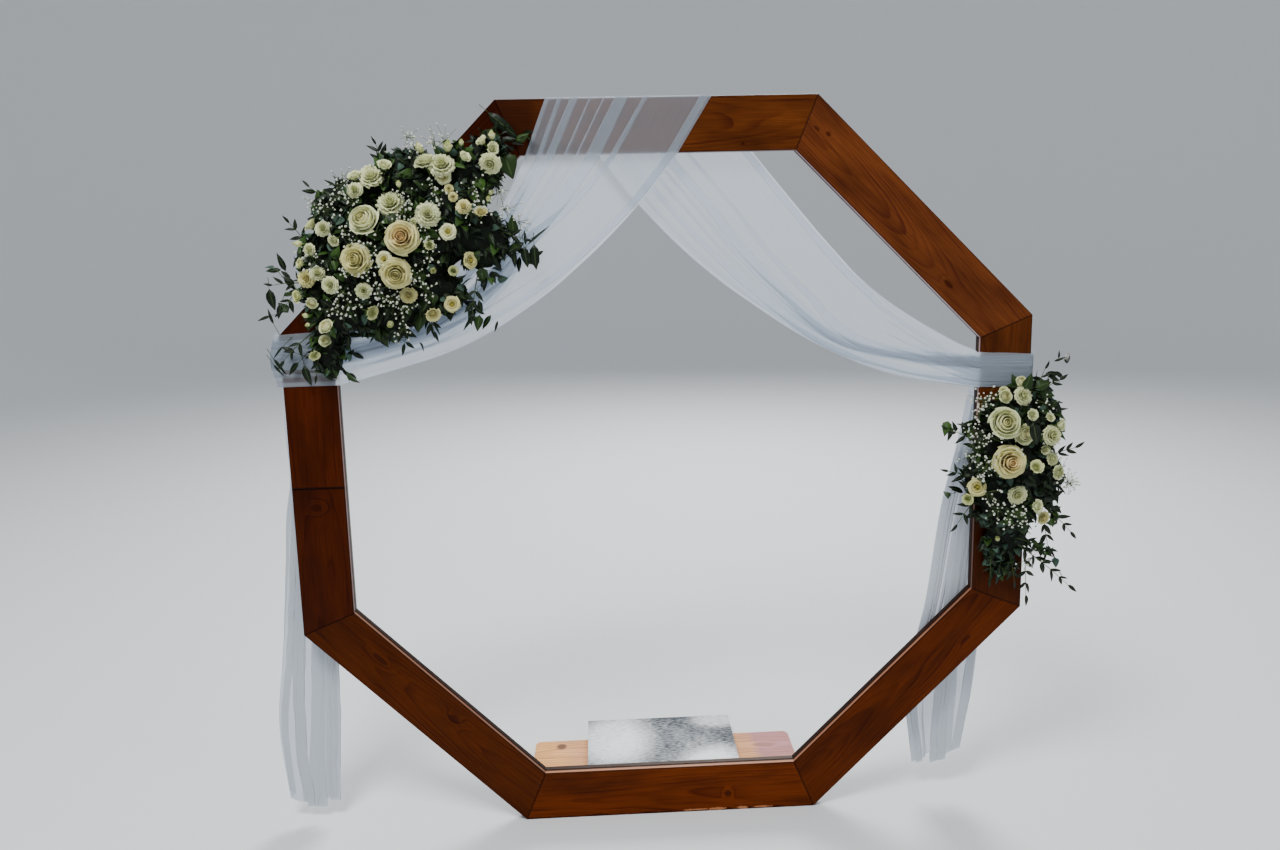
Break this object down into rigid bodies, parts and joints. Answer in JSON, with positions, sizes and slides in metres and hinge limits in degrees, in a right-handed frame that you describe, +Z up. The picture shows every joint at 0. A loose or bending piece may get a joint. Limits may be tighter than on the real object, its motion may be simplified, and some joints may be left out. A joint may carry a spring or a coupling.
{
  "type": "octagonal wedding arch",
  "caption": "Free-standing octagonal ring of stained boards with a long sheer voile scarf, rose and foliage arrangements, base boards and a stone slab as ballast.",
  "frame": {"origin": "middle of the front bottom board's underside, on the ground", "axes": "+Z up, the front of the arch faces -Y, +X to the right seen from the front"},
  "size_m": [2.2414, 0.5741, 2.0064],
  "materials": {
    "ring_wood": "mahogany stain, satin varnish",
    "base_wood": "thin reddish stain, worn",
    "slab_stone": "cleft grey stone, matte",
    "voile": "sheer white voile",
    "foliage": "dark green leaves, satin",
    "petals": "cream petals, soft matte"
  },
  "bodies": {
    "root": {"front_top_board": "ring_wood", "front_upper_right_board": "ring_wood", "front_right_post_upper": "ring_wood", "front_right_post_lower": "ring_wood", "front_lower_right_board": "ring_wood", "front_bottom_board": "ring_wood", "front_lower_left_board": "ring_wood", "front_left_post_lower": "ring_wood", "front_left_post_upper": "ring_wood", "front_upper_left_board": "ring_wood", "back_top_board": "ring_wood", "back_upper_right_board": "ring_wood", "back_right_post": "ring_wood", "back_lower_right_board": "ring_wood", "back_bottom_board": "ring_wood", "back_lower_left_board": "ring_wood", "back_left_post": "ring_wood", "back_upper_left_board": "ring_wood", "base_front_board": "base_wood", "base_rear_board": "base_wood", "ballast_slab": "slab_stone", "voile_top_wrap": "voile", "voile_left_swag": "voile", "voile_right_swag": "voile", "voile_left_post_wrap": "voile", "voile_right_post_wrap": "voile", "voile_left_tail": "voile", "voile_right_tail": "voile", "left_foliage": "foliage", "right_foliage": "foliage", "left_rose_1": "petals", "left_rose_2": "petals", "left_rose_3": "petals", "left_rose_4": "petals", "left_carnation_5": "petals", "left_carnation_6": "petals", "left_carnation_7": "petals", "left_carnation_8": "petals", "right_rose_1": "petals", "right_rose_2": "petals", "right_rose_3": "petals"}
  },
  "joints": []
}
